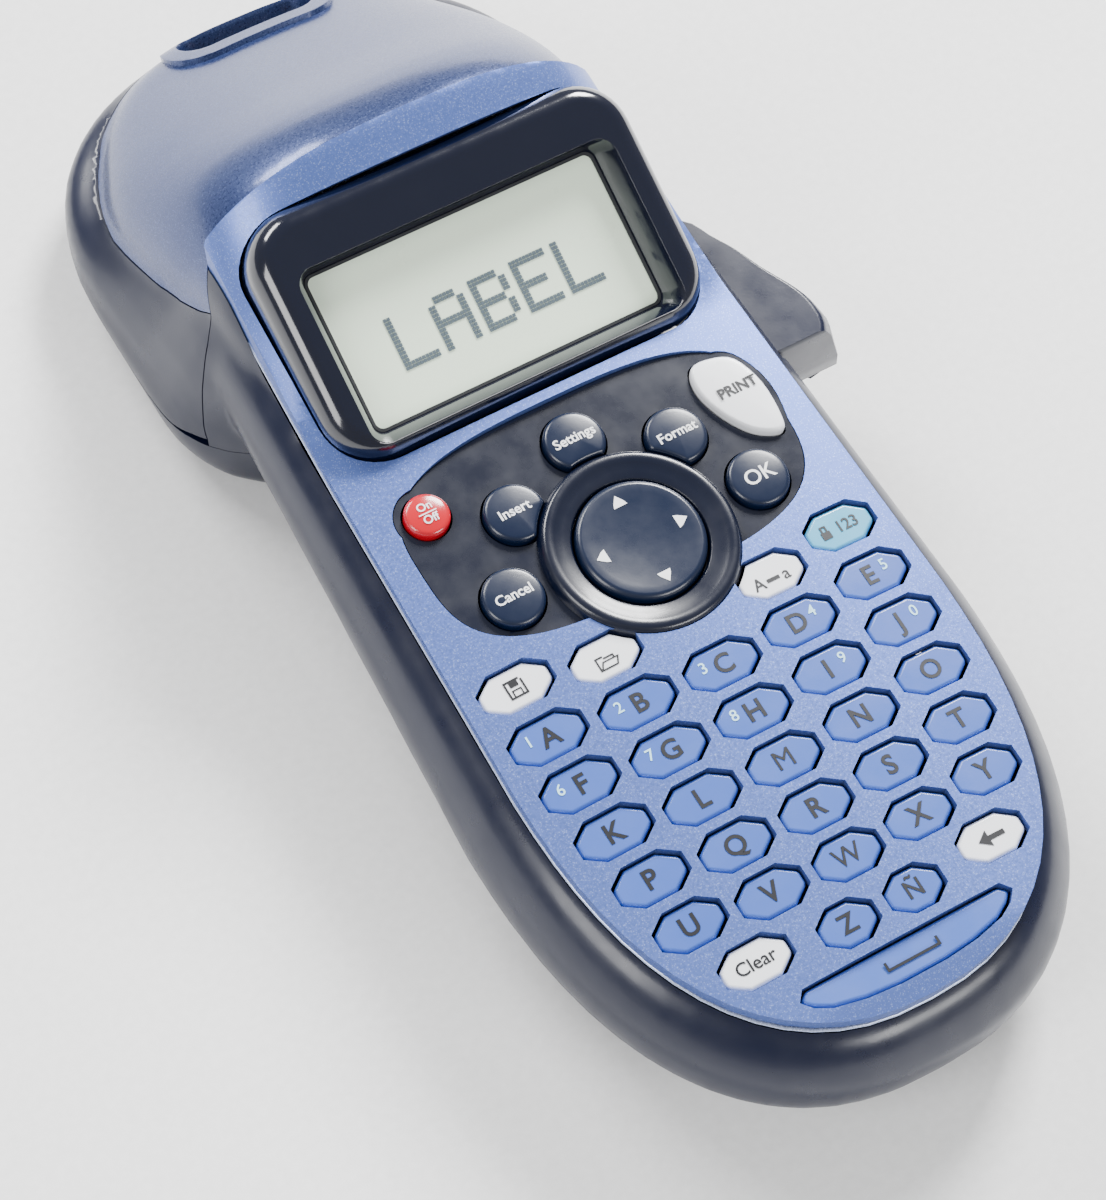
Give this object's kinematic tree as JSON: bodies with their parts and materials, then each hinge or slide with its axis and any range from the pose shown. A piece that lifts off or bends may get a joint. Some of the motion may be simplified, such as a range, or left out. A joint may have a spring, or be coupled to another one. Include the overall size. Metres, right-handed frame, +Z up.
{
  "type": "label maker",
  "caption": "Handheld label maker with a letter keypad, tilted display, hinged head cover, squeeze lever cutter and battery door.",
  "frame": {"origin": "the point of the head's flat back that the object rests on, on the centre line, 88 mm up the face from the middle of the round pad", "axes": "+X to the right seen from the front, +Y along the body from the keypad's end to the tape slot, +Z up out of the keypad"},
  "size_m": [0.0997, 0.2129, 0.0517],
  "materials": {
    "navy_plastic": "satin",
    "blue_metallic": "satin metallic paint",
    "display": "clear window over a pale green grey panel",
    "cell_wrap": "gloss",
    "steel": "brushed",
    "mat_rubber": "matt",
    "board": "satin",
    "gear_plastic": "satin",
    "cassette_plastic": "satin",
    "dark_gloss": "gloss",
    "red_gloss": "gloss",
    "white_gloss": "gloss",
    "cyan_gloss": "gloss",
    "blue_key": "satin"
  },
  "bodies": {
    "casing": {"rear_housing": "navy_plastic", "front_housing": "navy_plastic", "faceplate": "blue_metallic", "display_panel": "display", "battery_cells": "cell_wrap", "battery_contacts": "steel", "keypad_mat": "mat_rubber", "circuit_board": "board", "print_head": "steel", "drive_motor": "steel", "tape_cassette": "cassette_plastic", "housing_screws": "steel"},
    "cover": {"head_cover": "blue_metallic"},
    "door": {"battery_door": "navy_plastic"},
    "lever": {"cutter_lever": "navy_plastic"},
    "blade": {"cutter_blade": "steel"},
    "platen": {"platen_roller": "mat_rubber"},
    "pinion": {"drive_pinion": "gear_plastic"},
    "nav_pad": {"nav_pad": "dark_gloss"},
    "power_button": {"power_button": "red_gloss"},
    "insert_button": {"insert_button": "dark_gloss"},
    "settings_button": {"settings_button": "dark_gloss"},
    "format_button": {"format_button": "dark_gloss"},
    "cancel_button": {"cancel_button": "dark_gloss"},
    "ok_button": {"ok_button": "dark_gloss"},
    "print_button": {"print_button": "white_gloss"},
    "save_key": {"save_key": "white_gloss"},
    "recall_key": {"recall_key": "white_gloss"},
    "case_key": {"case_key": "white_gloss"},
    "number_key": {"number_key": "cyan_gloss"},
    "clear_key": {"clear_key": "white_gloss"},
    "back_key": {"back_key": "white_gloss"},
    "space_key": {"space_key": "blue_key"},
    "key_z": {"key_z": "blue_key"},
    "key_n_tilde": {"key_n_tilde": "blue_key"},
    "key_a": {"key_a": "blue_key"},
    "key_b": {"key_b": "blue_key"},
    "key_c": {"key_c": "blue_key"},
    "key_d": {"key_d": "blue_key"},
    "key_e": {"key_e": "blue_key"},
    "key_f": {"key_f": "blue_key"},
    "key_g": {"key_g": "blue_key"},
    "key_h": {"key_h": "blue_key"},
    "key_i": {"key_i": "blue_key"},
    "key_j": {"key_j": "blue_key"},
    "key_k": {"key_k": "blue_key"},
    "key_l": {"key_l": "blue_key"},
    "key_m": {"key_m": "blue_key"},
    "key_n": {"key_n": "blue_key"},
    "key_o": {"key_o": "blue_key"},
    "key_p": {"key_p": "blue_key"},
    "key_q": {"key_q": "blue_key"},
    "key_r": {"key_r": "blue_key"},
    "key_s": {"key_s": "blue_key"},
    "key_t": {"key_t": "blue_key"},
    "key_u": {"key_u": "blue_key"},
    "key_v": {"key_v": "blue_key"},
    "key_w": {"key_w": "blue_key"},
    "key_x": {"key_x": "blue_key"},
    "key_y": {"key_y": "blue_key"}
  },
  "joints": [
    {"name": "cover_hinge", "type": "hinge", "parent": "casing", "child": "cover", "pos_m": [0, 0.03266, 0.00727], "axis": [-1, 0, 0], "range_deg": [0, 95]},
    {"name": "lever_squeeze", "type": "hinge", "parent": "casing", "child": "lever", "pos_m": [0.03248, -0.03066, 0.01137], "axis": [0, 0.0538, -0.9986], "range_deg": [0, 6], "stiffness_Nm_per_rad": 1, "springref_deg": -2.86},
    {"name": "blade_slide", "type": "slide", "parent": "casing", "child": "blade", "axis": [1, 0, 0], "range_m": [0, 0.0032]},
    {"name": "platen_spin", "type": "hinge", "parent": "casing", "child": "platen", "pos_m": [0.005, 0.01062, 0.01659], "axis": [0, -0.0538, 0.9986], "continuous": true},
    {"name": "pinion_spin", "type": "hinge", "parent": "casing", "child": "pinion", "pos_m": [0.0146, 0.01089, 0.0116], "axis": [0, -0.0538, 0.9986], "continuous": true},
    {"name": "door_lift", "type": "slide", "parent": "casing", "child": "door", "axis": [0, 0.0538, -0.9986], "range_m": [0, 0.025]},
    {"name": "nav_pad_press", "type": "slide", "parent": "casing", "child": "nav_pad", "axis": [0, 0.0538, -0.9986], "range_m": [0, 0.001], "stiffness_N_per_m": 300, "springref_m": -0.0005},
    {"name": "power_button_press", "type": "slide", "parent": "casing", "child": "power_button", "axis": [0, 0.0538, -0.9986], "range_m": [0, 0.001], "stiffness_N_per_m": 300, "springref_m": -0.0005},
    {"name": "insert_button_press", "type": "slide", "parent": "casing", "child": "insert_button", "axis": [0, 0.0538, -0.9986], "range_m": [0, 0.001], "stiffness_N_per_m": 300, "springref_m": -0.0005},
    {"name": "settings_button_press", "type": "slide", "parent": "casing", "child": "settings_button", "axis": [0, 0.0538, -0.9986], "range_m": [0, 0.001], "stiffness_N_per_m": 300, "springref_m": -0.0005},
    {"name": "format_button_press", "type": "slide", "parent": "casing", "child": "format_button", "axis": [0, 0.0538, -0.9986], "range_m": [0, 0.001], "stiffness_N_per_m": 300, "springref_m": -0.0005},
    {"name": "cancel_button_press", "type": "slide", "parent": "casing", "child": "cancel_button", "axis": [0, 0.0538, -0.9986], "range_m": [0, 0.001], "stiffness_N_per_m": 300, "springref_m": -0.0005},
    {"name": "ok_button_press", "type": "slide", "parent": "casing", "child": "ok_button", "axis": [0, 0.0538, -0.9986], "range_m": [0, 0.001], "stiffness_N_per_m": 300, "springref_m": -0.0005},
    {"name": "print_button_press", "type": "slide", "parent": "casing", "child": "print_button", "axis": [0, 0.0538, -0.9986], "range_m": [0, 0.001], "stiffness_N_per_m": 300, "springref_m": -0.0005},
    {"name": "save_key_press", "type": "slide", "parent": "casing", "child": "save_key", "axis": [0, 0.0538, -0.9986], "range_m": [0, 0.001], "stiffness_N_per_m": 300, "springref_m": -0.0005},
    {"name": "recall_key_press", "type": "slide", "parent": "casing", "child": "recall_key", "axis": [0, 0.0538, -0.9986], "range_m": [0, 0.001], "stiffness_N_per_m": 300, "springref_m": -0.0005},
    {"name": "case_key_press", "type": "slide", "parent": "casing", "child": "case_key", "axis": [0, 0.0538, -0.9986], "range_m": [0, 0.001], "stiffness_N_per_m": 300, "springref_m": -0.0005},
    {"name": "number_key_press", "type": "slide", "parent": "casing", "child": "number_key", "axis": [0, 0.0538, -0.9986], "range_m": [0, 0.001], "stiffness_N_per_m": 300, "springref_m": -0.0005},
    {"name": "clear_key_press", "type": "slide", "parent": "casing", "child": "clear_key", "axis": [0, 0.0538, -0.9986], "range_m": [0, 0.001], "stiffness_N_per_m": 300, "springref_m": -0.0005},
    {"name": "back_key_press", "type": "slide", "parent": "casing", "child": "back_key", "axis": [0, 0.0538, -0.9986], "range_m": [0, 0.001], "stiffness_N_per_m": 300, "springref_m": -0.0005},
    {"name": "space_key_press", "type": "slide", "parent": "casing", "child": "space_key", "axis": [0, 0.0538, -0.9986], "range_m": [0, 0.001], "stiffness_N_per_m": 300, "springref_m": -0.0005},
    {"name": "key_z_press", "type": "slide", "parent": "casing", "child": "key_z", "axis": [0, 0.0538, -0.9986], "range_m": [0, 0.001], "stiffness_N_per_m": 300, "springref_m": -0.0005},
    {"name": "key_n_tilde_press", "type": "slide", "parent": "casing", "child": "key_n_tilde", "axis": [0, 0.0538, -0.9986], "range_m": [0, 0.001], "stiffness_N_per_m": 300, "springref_m": -0.0005},
    {"name": "key_a_press", "type": "slide", "parent": "casing", "child": "key_a", "axis": [0, 0.0538, -0.9986], "range_m": [0, 0.001], "stiffness_N_per_m": 300, "springref_m": -0.0005},
    {"name": "key_b_press", "type": "slide", "parent": "casing", "child": "key_b", "axis": [0, 0.0538, -0.9986], "range_m": [0, 0.001], "stiffness_N_per_m": 300, "springref_m": -0.0005},
    {"name": "key_c_press", "type": "slide", "parent": "casing", "child": "key_c", "axis": [0, 0.0538, -0.9986], "range_m": [0, 0.001], "stiffness_N_per_m": 300, "springref_m": -0.0005},
    {"name": "key_d_press", "type": "slide", "parent": "casing", "child": "key_d", "axis": [0, 0.0538, -0.9986], "range_m": [0, 0.001], "stiffness_N_per_m": 300, "springref_m": -0.0005},
    {"name": "key_e_press", "type": "slide", "parent": "casing", "child": "key_e", "axis": [0, 0.0538, -0.9986], "range_m": [0, 0.001], "stiffness_N_per_m": 300, "springref_m": -0.0005},
    {"name": "key_f_press", "type": "slide", "parent": "casing", "child": "key_f", "axis": [0, 0.0538, -0.9986], "range_m": [0, 0.001], "stiffness_N_per_m": 300, "springref_m": -0.0005},
    {"name": "key_g_press", "type": "slide", "parent": "casing", "child": "key_g", "axis": [0, 0.0538, -0.9986], "range_m": [0, 0.001], "stiffness_N_per_m": 300, "springref_m": -0.0005},
    {"name": "key_h_press", "type": "slide", "parent": "casing", "child": "key_h", "axis": [0, 0.0538, -0.9986], "range_m": [0, 0.001], "stiffness_N_per_m": 300, "springref_m": -0.0005},
    {"name": "key_i_press", "type": "slide", "parent": "casing", "child": "key_i", "axis": [0, 0.0538, -0.9986], "range_m": [0, 0.001], "stiffness_N_per_m": 300, "springref_m": -0.0005},
    {"name": "key_j_press", "type": "slide", "parent": "casing", "child": "key_j", "axis": [0, 0.0538, -0.9986], "range_m": [0, 0.001], "stiffness_N_per_m": 300, "springref_m": -0.0005},
    {"name": "key_k_press", "type": "slide", "parent": "casing", "child": "key_k", "axis": [0, 0.0538, -0.9986], "range_m": [0, 0.001], "stiffness_N_per_m": 300, "springref_m": -0.0005},
    {"name": "key_l_press", "type": "slide", "parent": "casing", "child": "key_l", "axis": [0, 0.0538, -0.9986], "range_m": [0, 0.001], "stiffness_N_per_m": 300, "springref_m": -0.0005},
    {"name": "key_m_press", "type": "slide", "parent": "casing", "child": "key_m", "axis": [0, 0.0538, -0.9986], "range_m": [0, 0.001], "stiffness_N_per_m": 300, "springref_m": -0.0005},
    {"name": "key_n_press", "type": "slide", "parent": "casing", "child": "key_n", "axis": [0, 0.0538, -0.9986], "range_m": [0, 0.001], "stiffness_N_per_m": 300, "springref_m": -0.0005},
    {"name": "key_o_press", "type": "slide", "parent": "casing", "child": "key_o", "axis": [0, 0.0538, -0.9986], "range_m": [0, 0.001], "stiffness_N_per_m": 300, "springref_m": -0.0005},
    {"name": "key_p_press", "type": "slide", "parent": "casing", "child": "key_p", "axis": [0, 0.0538, -0.9986], "range_m": [0, 0.001], "stiffness_N_per_m": 300, "springref_m": -0.0005},
    {"name": "key_q_press", "type": "slide", "parent": "casing", "child": "key_q", "axis": [0, 0.0538, -0.9986], "range_m": [0, 0.001], "stiffness_N_per_m": 300, "springref_m": -0.0005},
    {"name": "key_r_press", "type": "slide", "parent": "casing", "child": "key_r", "axis": [0, 0.0538, -0.9986], "range_m": [0, 0.001], "stiffness_N_per_m": 300, "springref_m": -0.0005},
    {"name": "key_s_press", "type": "slide", "parent": "casing", "child": "key_s", "axis": [0, 0.0538, -0.9986], "range_m": [0, 0.001], "stiffness_N_per_m": 300, "springref_m": -0.0005},
    {"name": "key_t_press", "type": "slide", "parent": "casing", "child": "key_t", "axis": [0, 0.0538, -0.9986], "range_m": [0, 0.001], "stiffness_N_per_m": 300, "springref_m": -0.0005},
    {"name": "key_u_press", "type": "slide", "parent": "casing", "child": "key_u", "axis": [0, 0.0538, -0.9986], "range_m": [0, 0.001], "stiffness_N_per_m": 300, "springref_m": -0.0005},
    {"name": "key_v_press", "type": "slide", "parent": "casing", "child": "key_v", "axis": [0, 0.0538, -0.9986], "range_m": [0, 0.001], "stiffness_N_per_m": 300, "springref_m": -0.0005},
    {"name": "key_w_press", "type": "slide", "parent": "casing", "child": "key_w", "axis": [0, 0.0538, -0.9986], "range_m": [0, 0.001], "stiffness_N_per_m": 300, "springref_m": -0.0005},
    {"name": "key_x_press", "type": "slide", "parent": "casing", "child": "key_x", "axis": [0, 0.0538, -0.9986], "range_m": [0, 0.001], "stiffness_N_per_m": 300, "springref_m": -0.0005},
    {"name": "key_y_press", "type": "slide", "parent": "casing", "child": "key_y", "axis": [0, 0.0538, -0.9986], "range_m": [0, 0.001], "stiffness_N_per_m": 300, "springref_m": -0.0005}
  ],
  "couplings": [
    {"joint": "blade_slide", "follows": "lever_squeeze", "m_per_rad": 0.03},
    {"joint": "pinion_spin", "follows": "platen_spin", "ratio": -3}
  ]
}
